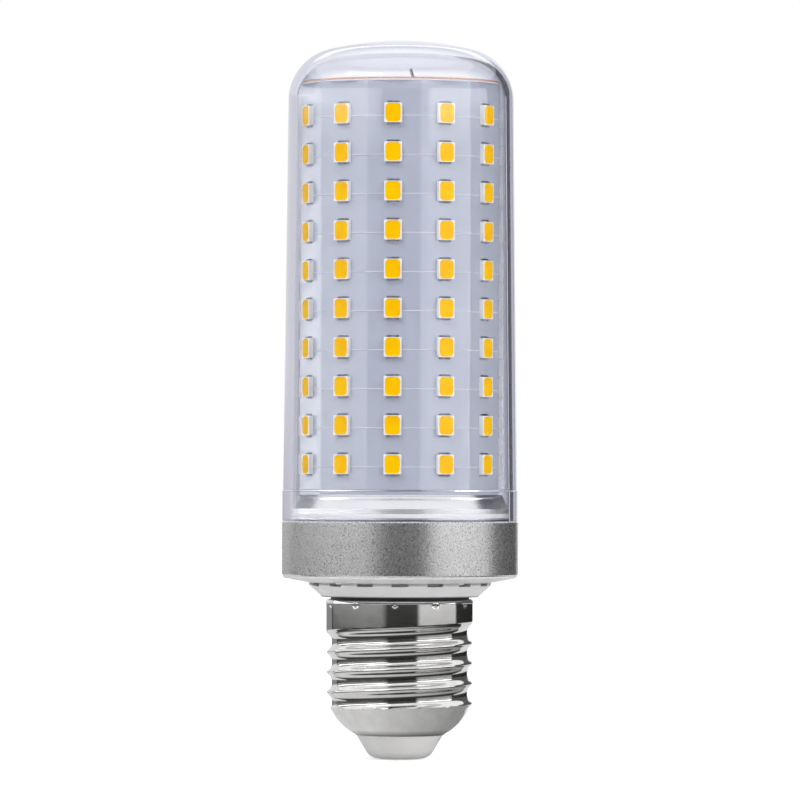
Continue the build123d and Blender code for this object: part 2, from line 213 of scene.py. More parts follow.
def clouded(name, dark, light, roughness, vary=0.05, peel=0.12, cloud=6.0, bump=0.3, depth=0.01, **plain):
    """A finish that clouds between two close colours, under a skin with a slight peel."""
    material, tree, shader = finish(name, **plain)
    marks = use(tree, skin, Peel=peel, Cloud=cloud)
    colour = shades(tree, marks["Shade"], dark, light)
    rough = spread(tree, marks["Height"], roughness - vary, roughness + vary)
    feed(tree, shader, Base_Color=colour, Roughness=rough, Normal=bumped(tree, marks["Height"], bump, depth))
    return material


dress("cap_insulator", clouded("insulator", (0.68, 0.675, 0.665), (0.74, 0.735, 0.725), 0.35))

# Screw shell: nickel-plated sheet, drawn into a cup, then rolled with the round 27 mm thread.
# Its rolled lip meets the plastic base, and punched stakes hold it there.
shell_low, shell_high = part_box("screw_shell")
shell_wall = 0.4 * mm
shell_foot_radius = 8.08 * mm
shell_mouth_radius = 7.58 * mm
shell_round = 0.2 * mm
shell_round_flare = 0.1 * mm
shell_round_bulge = 0.05 * mm
shoulder_bulge = 0.45 * mm
thread_pitch = 3.629 * mm
thread_depth = 0.85 * mm
thread_root = 12.25 * mm
thread_foot = shell_low.z + 4.333 * mm
thread_slope = 0.75
thread_sharpness = 2.3
band_radius = 13.24 * mm
band_edge = shell_high.z - 5.0 * mm
band_ease = 0.25 * mm
band_merge = 0.3
lip_height = 0.7 * mm
lip_step = 0.1 * mm
lip_round = 0.02 * mm
stake_count = 11
stake_angle = -4.0
stake_half = 0.6 * mm
stake_depth = 0.34 * mm
outer_share = 0.99
stake_height = shell_high.z - lip_height - 0.3 * mm
shell_around = 30 * stake_count
foot_shade_top = shell_low.z + 1.1 * mm
foot_shade_full = shell_low.z + 0.1 * mm
on_axis = 0.001 * mm


def arc(start, end, bulge, steps):
    """Points from start to end along an arc that bows out to the right by bulge, without the end."""
    run = Vector(end) - Vector(start)
    half = run.length / 2
    radius = (half**2 + bulge**2) / (2 * abs(bulge))
    side = Vector((run.y, -run.x)).normalized() * (1 if bulge > 0 else -1)
    centre = Vector(start) + run / 2 + side * (abs(bulge) - radius)
    first = Vector(start) - centre
    last = Vector(end) - centre
    sweep = first.angle(last)
    turn = -1 if first.cross(last) < 0 else 1
    points = []
    for i in range(steps):
        angle = turn * sweep * i / steps
        x = centre.x + first.x * cos(angle) - first.y * sin(angle)
        y = centre.y + first.x * sin(angle) + first.y * cos(angle)
        points.append((x, y))
    return points


def line(start, end, steps):
    """Evenly spaced points from start to end, without the end."""
    return [tuple(Vector(start).lerp(Vector(end), i / steps)) for i in range(steps)]


def outline_through(stations):
    """A closed outline. Each station is a point, with the bulge and the steps of the way to the next one."""
    points = []
    for (start, bulge, steps), (end, _, _) in zip(stations, stations[1:] + stations[:1]):
        points += arc(start, end, bulge, steps) if bulge else line(start, end, steps)
    return points


def linked(name, data):
    """A new object in the scene, with its mesh, lamp or camera."""
    piece = bpy.data.objects.new(name, data)
    bpy.context.scene.collection.objects.link(piece)
    return piece


def built(name, work):
    """A new piece from a bmesh, which is used up."""
    mesh = bpy.data.meshes.new(name)
    work.to_mesh(mesh)
    work.free()
    return linked(name, mesh)


def bridge(work, lower, upper):
    """Faces between two rings of equal counts. A ring may be one point."""
    for i in range(len(lower)):
        j = (i + 1) % len(lower)
        corners = list(dict.fromkeys((lower[i], lower[j], upper[j], upper[i])))
        if len(corners) > 2:
            work.faces.new(corners)


def turned(name, outline, around):
    """A closed outline of (radius, height) points, run anticlockwise, turned round the axis."""
    work = bmesh.new()
    angles = [2 * pi * i / around for i in range(around)]
    rings = []
    for radius, height in outline:
        if radius < on_axis:
            rings.append([work.verts.new((0, 0, height))] * around)
        else:
            rings.append([work.verts.new((radius * sin(a), -radius * cos(a), height)) for a in angles])
    for lower, upper in zip(rings, rings[1:] + rings[:1]):
        bridge(work, lower, upper)
    return built(name, work)


def smooth(piece, sharp_angle=35):
    """Shades a piece smooth, apart from its sharp edges."""
    piece.data.shade_smooth()
    piece.data.set_sharp_from_angle(angle=radians(sharp_angle))


def geometry_tree(name, sizes, counts=()):
    """An empty geometry tree with inputs for its sizes, its whole counts and its material."""
    tree = bpy.data.node_groups.new(name, "GeometryNodeTree")
    tree.interface.new_socket("Geometry", in_out="OUTPUT", socket_type="NodeSocketGeometry")
    kinds = {"Geometry": "Geometry", "Material": "Material"}
    kinds |= dict.fromkeys(sizes, "Float") | dict.fromkeys(counts, "Int")
    for socket, kind in kinds.items():
        tree.interface.new_socket(socket, in_out="INPUT", socket_type="NodeSocket" + kind)
    return tree, tree.nodes.new("NodeGroupInput").outputs, tree.nodes.new("NodeGroupOutput").inputs[0]


def end_tree(tree, geometry, material, result):
    """Ends a geometry tree with real copies in their material."""
    real = first_of(tree, "GeometryNodeRealizeInstances", {0: geometry})
    painted = first_of(tree, "GeometryNodeSetMaterial", {"Geometry": real, "Material": material})
    tree.links.new(painted, result)


def shape(piece, tree, **values):
    """Runs a geometry tree on a piece with these inputs, and leaves the result as its plain mesh."""
    modifier = piece.modifiers.new(tree.name, "NODES")
    modifier.node_group = tree
    for item in tree.interface.items_tree:
        key = item.name.replace(" ", "_")
        if item.in_out == "INPUT" and key in values:
            modifier[item.identifier] = values[key]
    depsgraph = bpy.context.evaluated_depsgraph_get()
    mesh = bpy.data.meshes.new_from_object(piece.evaluated_get(depsgraph), depsgraph=depsgraph)
    piece.modifiers.remove(modifier)
    piece.data = mesh


def polar(tree):
    """Each point's place, distance from the axis, turn round it from the front, and height."""
    here = first_of(tree, "GeometryNodeInputPosition")
    x, y, z = split(tree, here)
    radius = place(tree, "ShaderNodeVectorMath", {0: join(tree, x, y)}, operation="LENGTH").outputs["Value"]
    angle = maths(tree, "ARCTAN2", x, maths(tree, "MULTIPLY", y, -1.0))
    return here, radius, maths(tree, "DIVIDE", angle, 2 * pi), z


def set_radius(tree, geometry, here, radius, new_radius):
    """Moves each point straight out or in to a new distance from the axis."""
    share = maths(tree, "DIVIDE", new_radius, radius)
    stretch = join(tree, share, share, 1.0)
    moved = first_of(tree, "ShaderNodeVectorMath", {0: here, 1: stretch}, operation="MULTIPLY")
    return first_of(tree, "GeometryNodeSetPosition", {"Geometry": geometry, "Position": moved})


def blend(tree, share, first, second, kind="RGBA"):
    """A mix of two colours, or of two numbers with the kind FLOAT."""
    inputs = {"Factor": share, "A": first, "B": second}
    return place(tree, "ShaderNodeMix", inputs, data_type=kind).outputs["Result"]


def rolled_thread():
    """A round thread rolled into a plain wall. It runs out in the shoulder and opens into the band."""
    sizes = ("Pitch", "Depth", "Foot", "Slope", "Sharpness", "Band edge", "Band rise", "Ease", "Merge")
    tree, given, result = geometry_tree("rolled thread", sizes)
    here, radius, turns, z = polar(tree)
    edge = maths(tree, "MULTIPLY_ADD", given["Pitch"], turns, given["Band edge"])
    above_edge = maths(tree, "SUBTRACT", z, edge)
    winds = maths(tree, "DIVIDE", above_edge, given["Pitch"])
    wave = maths(tree, "COSINE", maths(tree, "MULTIPLY", winds, 2 * pi))
    ridge = maths(tree, "POWER", maths(tree, "MULTIPLY_ADD", wave, 0.5, 0.5), given["Sharpness"])
    wound = maths(tree, "MULTIPLY", ridge, given["Depth"])
    closing = spread(tree, turns, 0.0, 1.0, given["Merge"], 0.5, interpolation_type="SMOOTHSTEP")
    last_turn = maths(tree, "GREATER_THAN", above_edge, maths(tree, "MULTIPLY", given["Pitch"], -1.0))
    filled = maths(tree, "MULTIPLY", maths(tree, "MULTIPLY", closing, last_turn), given["Band rise"])
    below = maths(tree, "MAXIMUM", wound, filled)
    band = spread(tree, above_edge, given["Depth"], given["Band rise"], 0.0, given["Ease"])
    pressed = blend(tree, maths(tree, "GREATER_THAN", above_edge, 0.0), below, band, "FLOAT")
    above_foot = maths(tree, "MAXIMUM", maths(tree, "SUBTRACT", z, given["Foot"]), 0.0)
    rise = maths(tree, "MINIMUM", pressed, maths(tree, "MULTIPLY", above_foot, given["Slope"]))
    moved = set_radius(tree, given["Geometry"], here, radius, maths(tree, "ADD", radius, rise))
    end_tree(tree, moved, given["Material"], result)
    return tree


def punched_stakes():
    """Diamond pits punched round a band at even spacing."""
    sizes = ("Count", "First turn", "Height", "Half size", "Depth", "Band radius")
    tree, given, result = geometry_tree("punched stakes", sizes)
    here, radius, turns, z = polar(tree)
    steps = maths(tree, "MULTIPLY", maths(tree, "SUBTRACT", turns, given["First turn"]), given["Count"])
    off = maths(tree, "SUBTRACT", maths(tree, "FRACT", maths(tree, "ADD", steps, 0.5)), 0.5)
    girth = maths(tree, "MULTIPLY", given["Band radius"], 2 * pi)
    spacing = maths(tree, "DIVIDE", girth, given["Count"])
    along = maths(tree, "ABSOLUTE", maths(tree, "MULTIPLY", off, spacing))
    up = maths(tree, "ABSOLUTE", maths(tree, "SUBTRACT", z, given["Height"]))
    reach = maths(tree, "DIVIDE", maths(tree, "ADD", along, up), given["Half size"])
    share = maths(tree, "MAXIMUM", maths(tree, "SUBTRACT", 1.0, reach), 0.0)
    pit = maths(tree, "MULTIPLY", share, given["Depth"])
    wall = maths(tree, "MULTIPLY", given["Band radius"], outer_share)
    outer = maths(tree, "GREATER_THAN", radius, wall)
    new_radius = maths(tree, "SUBTRACT", radius, maths(tree, "MULTIPLY", pit, outer))
    moved = set_radius(tree, given["Geometry"], here, radius, new_radius)
    end_tree(tree, moved, given["Material"], result)
    return tree


def height_of(tree):
    """Each point's height in the bulb's frame."""
    return split(tree, spot(tree))["Z"]


def plated_shell():
    """Bright plate over drawn lines, with painted shade at the foot where it meets the insulator."""
    material, tree, shader = finish("plated shell", Metallic=1.0)
    marks = use(tree, drawn, Line_width=0.12, Waver=0.03)
    plate = shades(tree, marks["Cloud"], (0.78, 0.77, 0.75), (0.84, 0.84, 0.83), 0.35, 0.65)
    foot_shade = spread(tree, height_of(tree), 0.0, 1.0, foot_shade_top, foot_shade_full)
    # Painted shade: the lowest millimetre of the plate is darkened towards grey, for the shaded joint with
    # the insulator.
    colour = blend(tree, foot_shade, plate, (0.2, 0.2, 0.2, 1))
    roughness = spread(tree, marks["Lines"], 0.06, 0.14)
    bump = bumped(tree, marks["Lines"], 0.06, 0.01)
    feed(tree, shader, Base_Color=colour, Roughness=roughness, Normal=bump)
    return material


def screw_shell():
    """The drawn cup, with its outline from the mouth up the outside, over the lip and down the inside."""
    foot = shell_low.z
    top = shell_high.z
    lip_foot = top - lip_height
    bore = thread_root - shell_wall
    stations = [
        ((shell_mouth_radius, foot), 0, 2),
        ((shell_foot_radius - shell_round, foot), shell_round_bulge, 4),
        ((shell_foot_radius + shell_round_flare, foot + shell_round), shoulder_bulge, 24),
        ((thread_root, thread_foot), 0, 140),
        ((thread_root, stake_height - stake_half), 0, 14),
        ((thread_root, lip_foot), lip_round, 3),
        ((thread_root + lip_step, lip_foot + lip_step), lip_round, 7),
        ((thread_root - lip_step, top), 0, 2),
        ((bore, top), 0, 60),
        ((bore, thread_foot + shell_wall), -shoulder_bulge, 10),
        ((shell_mouth_radius, foot + shell_wall), 0, 1),
    ]
    piece = turned("screw_shell_rolled", outline_through(stations), shell_around)
    plate = plated_shell()
    shape(
        piece,
        rolled_thread(),
        Pitch=thread_pitch,
        Depth=thread_depth,
        Foot=thread_foot,
        Slope=thread_slope,
        Sharpness=thread_sharpness,
        Band_edge=band_edge,
        Band_rise=band_radius - thread_root,
        Ease=band_ease,
        Merge=band_merge,
        Material=plate,
    )
    shape(
        piece,
        punched_stakes(),
        Count=float(stake_count),
        First_turn=stake_angle / 360,
        Height=stake_height,
        Half_size=stake_half,
        Depth=stake_depth,
        Band_radius=band_radius,
        Material=plate,
    )
    smooth(piece)
    return piece


shell = screw_shell()
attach(shell, "root")
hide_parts("screw_shell")

# Driver: a small upright board in the base, with the parts of a step-down supply and its wires.
# It is closed in by the base and the boards, so it shows only when the bulb is taken apart.
red_insulation = ((0.4, 0.02, 0.015), (0.5, 0.03, 0.02))
black_insulation = ((0.015, 0.015, 0.017), (0.025, 0.025, 0.027))
can_sleeve = ((0.02, 0.022, 0.035), (0.03, 0.034, 0.05))
driver_parts = {
    "driver_board": ("driver board", (0.68, 0.67, 0.63), (0.76, 0.75, 0.71), 0.4),
    "fuse_resistor": ("fuse resistor", (0.22, 0.3, 0.34), (0.28, 0.36, 0.4), 0.5),
    "choke_core": ("ferrite", (0.03, 0.03, 0.032), (0.05, 0.05, 0.05), 0.6),
    "input_capacitor": ("large can sleeve", *can_sleeve, 0.25),
    "output_capacitor": ("small can sleeve", *can_sleeve, 0.25),
    "bridge_rectifier": ("rectifier body", (0.02, 0.02, 0.02), (0.035, 0.035, 0.035), 0.5),
    "driver_chip": ("chip body", (0.02, 0.02, 0.02), (0.03, 0.03, 0.03), 0.45),
    "output_diode": ("diode body", (0.02, 0.02, 0.02), (0.03, 0.03, 0.03), 0.5),
    "chip_resistors": ("resistor bodies", (0.02, 0.02, 0.022), (0.04, 0.04, 0.042), 0.35),
    "live_wire": ("red insulation", *red_insulation, 0.35),
    "neutral_wire": ("black insulation", *black_insulation, 0.35),
}
for node, (name, dark, light, roughness) in driver_parts.items():
    dress(node, clouded(name, dark, light, roughness, cloud=2.0))


def enamelled_copper():
    material, tree, shader = finish("enamelled copper", Metallic=0.9)
    winding = {"Vector": spot(tree), "Scale": 900.0, "Distortion": 0.4}
    turns = place(tree, "ShaderNodeTexWave", winding, bands_direction="Y").outputs["Fac"]
    colour = shades(tree, turns, (0.2, 0.06, 0.02), (0.62, 0.26, 0.1), 0.1, 0.8)
    roughness = spread(tree, turns, 0.5, 0.25)
    feed(tree, shader, Base_Color=colour, Roughness=roughness, Normal=bumped(tree, turns, 0.8, 0.1))
    return material


dress("choke_winding", enamelled_copper())

# Plastic base: one white moulding, from the neck inside the shell to the flange under the collar.
# A ring of slots under the flange lets the driver's heat out.
base_gap_top = shell_high.z + 0.45 * mm
gap_shade_fade = base_gap_top + 0.3 * mm
gap_shade_full = base_gap_top + 0.05 * mm
base_crease = base_gap_top + 2.4 * mm
crease_shade_fade = 0.35 * mm
crease_shade_full = 0.1 * mm
crease_shade = 0.4


def base_plastic():
    """White plastic, with painted shade in the gap over the shell's lip and in the crease under the flange.
    """
    material, tree, shader = finish("base plastic")
    marks = use(tree, skin, Peel=0.2, Cloud=9.0)
    height = height_of(tree)
    gap = spread(tree, height, 0.0, 1.0, gap_shade_fade, gap_shade_full)
    off_crease = maths(tree, "ABSOLUTE", maths(tree, "SUBTRACT", height, base_crease))
    crease = spread(tree, off_crease, 0.0, crease_shade, crease_shade_fade, crease_shade_full)
    white = shades(tree, marks["Shade"], (0.67, 0.67, 0.67), (0.73, 0.73, 0.73))
    # Painted shade: the gap and crease masks darken the white towards a near-black grey.
    colour = blend(tree, maths(tree, "MAXIMUM", gap, crease), white, (0.06, 0.06, 0.06, 1))
    rough = spread(tree, marks["Height"], 0.33, 0.43)
    feed(tree, shader, Base_Color=colour, Roughness=rough, Normal=bumped(tree, marks["Height"], 0.3, 0.01))
    return material


dress("plastic_base", base_plastic())

# Collar: a turned aluminium ring, bead blasted on its face and left bright on the spigot inside the cover.
# It snaps over the base's sleeve, and the cover is glued to its spigot.
collar_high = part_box("collar")[1]
spigot_foot = collar_high.z - 4.72 * mm
spigot_plain_top = collar_high.z - 2.5 * mm


def blasted_aluminium():
    """Pits and specks of blasting on the face, and a spigot that is bright above and dull below, where it is
    painted a shaded grey.
    """
    material, tree, shader = finish("blasted aluminium", Metallic=1.0)
    here = spot(tree)
    height = split(tree, here)["Z"]
    spigot = maths(tree, "GREATER_THAN", height, spigot_foot)
    plain = maths(tree, "GREATER_THAN", spigot_plain_top, height)
    pits = place(tree, "ShaderNodeTexVoronoi", {"Vector": here, "Scale": 5500.0})
    specks = noise(tree, here, 3400.0, 4.0, 0.7)
    cloud = noise(tree, here, 160.0, 2.0)
    grain = maths(tree, "ADD", maths(tree, "MULTIPLY", pits.outputs["Distance"], 0.5), specks)
    face = shades(tree, specks, (0.7, 0.7, 0.7), (1.0, 1.0, 1.0), 0.37, 0.55)
    bright = shades(tree, cloud, (0.95, 0.95, 0.96), (1.0, 1.0, 1.0))
    # Painted shade: the spigot's plain band is coloured a flat grey that stands for the grey it mirrors; its
    # higher roughness is its real duller finish.
    colour = blend(tree, spigot, face, blend(tree, plain, bright, (0.5, 0.5, 0.52, 1)))
    blasted = spread(tree, specks, 0.2, 0.36)
    cut = spread(tree, plain, 0.14, 0.5)
    roughness = blend(tree, spigot, blasted, cut, "FLOAT")
    feed(tree, shader, Base_Color=colour, Roughness=roughness, Normal=bumped(tree, grain, 0.3, 0.04))
    return material


dress("collar", blasted_aluminium())

# Glue ring: white silicone in the spigot's groove, pressed out to the cover when the cover was set down.
# It shows through the cover's foot as a pale line.
silicone = clouded("silicone glue", (0.88, 0.88, 0.88), (0.94, 0.94, 0.94), 0.4, peel=0.3, cloud=1.5)
dress("glue_ring", silicone)

# Board tube: one thin aluminium-backed board with a pale mask, folded into twelve facets.
# It stands on the collar's spigot, and its tracks cross the folds from package to package.
board_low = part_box("led_board")[0]
column_count = 12
column_phase = -4.4
board_apothem = 17.588 * mm
board_bend = 1.6 * mm
bend_steps = 4
row_count = 10
row_pitch = 6.92 * mm
first_row = board_low.z + 5.4 * mm
track_width = 0.22 * mm
track_height = 0.05 * mm
track_drop = 0.5 * mm
mask_skin = {"vary": 0.04, "peel": 0.15, "cloud": 14.0, "bump": 0.15, "depth": 0.008}
mask = clouded("white mask", (0.385, 0.41, 0.48), (0.435, 0.46, 0.53), 0.32, **mask_skin, IOR=1.6)
dress("led_board", mask)


def board_tracks():
    """Tracks that run round a folded tube, one at each row."""
    sizes = ("Apothem", "Bend", "Phase", "First row", "Pitch", "Width", "Height")
    tree, given, result = geometry_tree("board tracks", sizes, ("Facets", "Rows"))
    half_turn = maths(tree, "DIVIDE", pi, given["Facets"])
    corner = maths(tree, "DIVIDE", given["Apothem"], maths(tree, "COSINE", half_turn))
    polygon = {"Resolution": given["Facets"], "Radius": corner}
    ring = first_of(tree, "GeometryNodeCurvePrimitiveCircle", polygon)
    spin = maths(tree, "ADD", given["Phase"], maths(tree, "SUBTRACT", half_turn, pi / 2))
    aligned = first_of(tree, "GeometryNodeTransform", {"Geometry": ring, "Rotation": join(tree, z=spin)})
    bend = {"Curve": aligned, "Count": bend_steps, "Radius": given["Bend"]}
    folded = first_of(tree, "GeometryNodeFilletCurve", bend, mode="POLY")
    section = {"Width": given["Height"], "Height": given["Width"]}
    strip = first_of(tree, "GeometryNodeCurvePrimitiveQuadrilateral", section)
    loop = first_of(tree, "GeometryNodeCurveToMesh", {"Curve": folded, "Profile Curve": strip})
    start = join(tree, z=given["First row"])
    step = join(tree, z=given["Pitch"])
    rows = {"Count": given["Rows"], "Start Location": start, "Offset": step}
    points = first_of(tree, "GeometryNodeMeshLine", rows)
    copies = first_of(tree, "GeometryNodeInstanceOnPoints", {"Points": points, "Instance": loop})
    end_tree(tree, copies, given["Material"], result)
    return tree


tracks = linked("board_tracks", bpy.data.meshes.new("board_tracks"))
shape(
    tracks,
    board_tracks(),
    Facets=column_count,
    Apothem=board_apothem,
    Bend=board_bend,
    Phase=radians(column_phase),
    Rows=row_count,
    First_row=first_row - track_drop,
    Pitch=row_pitch,
    Width=track_width,
    Height=track_height,
    Material=clouded("masked track", (0.52, 0.545, 0.61), (0.6, 0.62, 0.68), 0.4),
)
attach(tracks, "root")

# Light packages: white moulded cups on tinned feet, soldered in columns and filled with phosphor silicone.
# A ring of the same packages lies on the end board and shines up into the dome.
package_width = 3.1 * mm
package_height = 3.55 * mm
package_depth = 0.75 * mm
package_round = 0.14 * mm
package_edge = 0.04 * mm
package_draft = 0.04 * mm
window_width = 2.65 * mm
window_height = 3.3 * mm
window_round = 0.7 * mm
window_recess = 0.05 * mm
window_depth = 0.3 * mm
window_dish = 0.03 * mm
dish_share = 0.8
foot_width = 2.2 * mm
foot_reach = 0.36 * mm
foot_rise = 0.3 * mm
foot_tuck = 0.3 * mm
solder_reach = 0.4 * foot_reach
solder_rise = 0.45 * foot_rise
corner_steps = 4
end_count = 8
end_ring = 7.0 * mm
end_low, end_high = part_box("end_board")


def rounded_ring(width, height, radius, depth):
    """Points round a rounded rectangle that faces -Y, at a depth in front of Y = 0."""
    ring = []
    for quarter in range(4):
        sign_x = 1 if quarter in (0, 3) else -1
        sign_z = 1 if quarter in (0, 1) else -1
        for step in range(corner_steps):
            angle = radians(90 * (quarter + step / (corner_steps - 1)))
            x = sign_x * (width / 2 - radius) + radius * cos(angle)
            z = sign_z * (height / 2 - radius) + radius * sin(angle)
            ring.append((x, -depth, z))
    return ring


def lofted(name, *stacks):
    """A piece of solids, each through a stack of rings of equal counts and capped at both ends."""
    work = bmesh.new()
    for stack in stacks:
        rings = [[work.verts.new(point) for point in ring] for ring in stack]
        for lower, upper in zip(rings, rings[1:]):
            bridge(work, lower, upper)
        work.faces.new(rings[0][::-1])
        work.faces.new(rings[-1])
    bmesh.ops.recalc_face_normals(work, faces=work.faces)
    return built(name, work)


def window_ring(depth):
    """Points round a window at a depth."""
    return rounded_ring(window_width, window_height, window_round, depth)


def cup():
    """The white cup's rings, from its foot up the outside and down into the window."""
    face_width = package_width - package_draft
    face_height = package_height - package_draft
    shoulder = 2 * package_edge
    floor = package_depth - window_recess - window_depth
    return [
        rounded_ring(package_width, package_height, package_round, 0),
        rounded_ring(face_width, face_height, package_round, package_depth - package_edge),
        rounded_ring(face_width - shoulder, face_height - shoulder, package_round, package_depth),
        window_ring(package_depth),
        window_ring(floor),
    ]


def filling():
    """The phosphor's rings, from the window's floor to its slightly dished top."""
    top = package_depth - window_recess
    return [
        window_ring(top - window_depth),
        window_ring(top),
        rounded_ring(window_width * dish_share, window_height * dish_share, window_round, top - window_dish),
    ]


def foot(side):
    """The two end sections of a tinned foot and its solder, tucked under one end of a package."""
    end = package_height / 2
    section = [(end - foot_tuck, 0), (end + foot_reach, 0), (end + solder_reach, solder_rise)]
    section += [(end, foot_rise), (end - foot_tuck, foot_rise)]
    return [[(x, -rise, side * reach) for reach, rise in section] for x in (-foot_width / 2, foot_width / 2)]


def package_rows():
    """Copies of a piece in rows up the sides of a tube, or in a ring when it is tilted up."""
    sizes = ("Radius", "Phase", "First row", "Pitch", "Tilt")
    tree, given, result = geometry_tree("package rows", sizes, ("Columns", "Rows"))
    index = first_of(tree, "GeometryNodeInputIndex")
    count = maths(tree, "MULTIPLY", given["Columns"], given["Rows"])
    column = maths(tree, "FLOOR", maths(tree, "DIVIDE", index, given["Rows"]))
    row = maths(tree, "SUBTRACT", index, maths(tree, "MULTIPLY", column, given["Rows"]))
    step = maths(tree, "DIVIDE", 2 * pi, given["Columns"])
    angle = maths(tree, "MULTIPLY_ADD", column, step, given["Phase"])
    x = maths(tree, "MULTIPLY", given["Radius"], maths(tree, "SINE", angle))
    y = maths(tree, "MULTIPLY", given["Radius"], maths(tree, "MULTIPLY", maths(tree, "COSINE", angle), -1.0))
    z = maths(tree, "MULTIPLY_ADD", row, given["Pitch"], given["First row"])
    points = first_of(tree, "GeometryNodePoints", {"Count": count, "Position": join(tree, x, y, z)})
    turn = first_of(tree, "FunctionNodeEulerToRotation", {0: join(tree, given["Tilt"], 0.0, angle)})
    kind = {"data_type": "QUATERNION"}
    store = {"Geometry": points, "Name": "turn", "Value": turn}
    stored = first_of(tree, "GeometryNodeStoreNamedAttribute", store, domain="POINT", **kind)
    kept = first_of(tree, "GeometryNodeInputNamedAttribute", {"Name": "turn"}, **kind)
    copy = {"Points": stored, "Instance": given["Geometry"], "Rotation": kept}
    copies = first_of(tree, "GeometryNodeInstanceOnPoints", copy)
    end_tree(tree, copies, given["Material"], result)
    return tree


rows_tree = package_rows()


def stand(piece, material, columns, rows, radius, phase, low, tilt=0.0):
    """Copies a piece in columns round the axis, in rows from a height up."""
    shape(
        piece,
        rows_tree,
        Columns=columns,
        Rows=rows,
        Radius=radius,
        Phase=phase,
        First_row=low,
        Pitch=row_pitch,
        Tilt=tilt,
        Material=material,
    )
    smooth(piece)


white = clouded("package white", (0.76, 0.76, 0.74), (0.84, 0.84, 0.82), 0.35, cloud=3.0)
phosphor_skin = {"vary": 0.075, "peel": 0.2, "cloud": 2.2, "bump": 0.2}
phosphor_gloss = {"IOR": 1.42, "Specular_IOR_Level": 0.0}
yellows = ((0.96, 0.48, 0.0), (0.99, 0.58, 0.0))
phosphor = clouded("phosphor silicone", *yellows, 0.575, **phosphor_skin, **phosphor_gloss)
tin_skin = {"vary": 0.07, "peel": 0.1, "cloud": 0.8, "bump": 0.4, "depth": 0.02}
# Partly painted shade: the tin is a darker grey than bare tin, standing in for the shade in the strips under
# each package's ends.
tin = clouded("tinned feet", (0.2, 0.2, 0.22), (0.42, 0.42, 0.44), 0.35, **tin_skin, Metallic=1.0)
up_columns = (column_count, row_count, board_apothem, radians(column_phase), first_row)
round_end = (end_count, 1, end_ring, pi / end_count, end_high.z, -pi / 2)
column_packages = [f"led_packages_{i + 1:02d}" for i in range(column_count)]
column_windows = [f"led_windows_{i + 1:02d}" for i in range(column_count)]
feet = (foot(-1), foot(1))
package_sets = [
    (lofted("column_packages", cup()), up_columns, white, "package_white", column_packages),
    (lofted("column_windows", filling()), up_columns, phosphor, "phosphor", column_windows),
    (lofted("column_feet", *feet), up_columns, tin, "plated_shell", []),
    (lofted("end_packages", cup()), round_end, white, "package_white", ["end_led_packages"]),
    (lofted("end_windows", filling()), round_end, phosphor, "phosphor", ["end_led_windows"]),
    (lofted("end_feet", *feet), round_end, tin, "plated_shell", []),
]
for piece, layout, material, slot, stands_for in package_sets:
    stand(piece, material, *layout)
    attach(piece, "root")
    if stands_for:
        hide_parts(*stands_for)

# End board: a round laminate board that closes the tube, white on its faces and brown at its cut edge.
# The two supply wires come up through it, and their bare ends are soldered there.
edge_coat_top = end_low.z + 0.2 * mm
lead_radius = 14.6 * mm
lead_angle = 8.2
joint_foot = 0.75 * mm
joint_waist = 0.42 * mm
joint_waist_height = 0.12 * mm
joint_top = 0.3 * mm
joint_height = 0.38 * mm
joint_around = 14


def laminate():
    """White mask on the faces and on the lowest part of the edge, and bare brown laminate above."""
    material, tree, shader = finish("end laminate")
    marks = use(tree, skin, Peel=0.15, Cloud=8.0)
    normal = place(tree, "ShaderNodeNewGeometry").outputs["Normal"]
    flat = maths(tree, "GREATER_THAN", maths(tree, "ABSOLUTE", split(tree, normal)["Z"]), 0.5)
    coat = maths(tree, "MAXIMUM", flat, maths(tree, "LESS_THAN", height_of(tree), edge_coat_top))
    mask = shades(tree, marks["Shade"], (0.64, 0.67, 0.75), (0.7, 0.73, 0.8))
    edge = shades(tree, marks["Height"], (0.42, 0.2, 0.12), (0.68, 0.42, 0.32), 0.35, 0.65)
    colour = blend(tree, coat, edge, mask)
    roughness = spread(tree, marks["Height"], 0.35, 0.5)
    bump = bumped(tree, marks["Height"], 0.2, 0.01)
    feed(tree, shader, Base_Color=colour, Roughness=roughness, Normal=bump)
    return material


dress("end_board", laminate())


def lead_wire(name, dark, light):
    """Insulated wire whose tip above the end board is bare tinned copper."""
    material, tree, shader = finish(name)
    marks = use(tree, skin, Peel=0.1, Cloud=3.0)
    tip = maths(tree, "GREATER_THAN", height_of(tree), end_low.z)
    sleeve = shades(tree, marks["Shade"], dark, light)
    metal = shades(tree, marks["Shade"], (0.1, 0.1, 0.11), (0.2, 0.2, 0.21))
    roughness = spread(tree, marks["Height"], 0.3, 0.4)
    feed(tree, shader, Base_Color=blend(tree, tip, sleeve, metal), Roughness=roughness, Metallic=tip)
    return material


dress("led_positive_wire", lead_wire("red lead", *red_insulation))
dress("led_negative_wire", lead_wire("black lead", *black_insulation))
joint_rise = [(joint_foot, 0), (joint_waist, joint_waist_height), (joint_top, joint_height)]
solder = turned("solder_joints", [(0, 0), *joint_rise, (0, joint_height)], joint_around)
stand(solder, tin, 2, 1, lead_radius, radians(lead_angle), end_high.z)
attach(solder, "root")

# Clear cover: a drafted tube with a domed end, moulded in clear plastic with an even wall.
# Its foot stands on the collar round the spigot, where a low step marks the glued band.
cover_low, cover_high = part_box("clear_cover")
cover_wall = 1.5 * mm
cover_band = 5.5 * mm
cover_step = 0.13 * mm
cover_draft = radians(0.62)
dome_shoulder = 9.3 * mm
dome_crown = 54.7 * mm
dome_steps = 44
spring_rounds = 6
cover_steps = 40
cover_around = 288
step_shade_band = 0.16 * mm
foot_shade_band = 0.3 * mm
rim_start = 0.48
rim_end = 0.66
lost_mirrorings = 2.5


def cover_radius(height):
    """The drafted outside's radius at a height."""
    return cover_high.x - cover_step - (height - cover_low.z - cover_band) * tan(cover_draft)


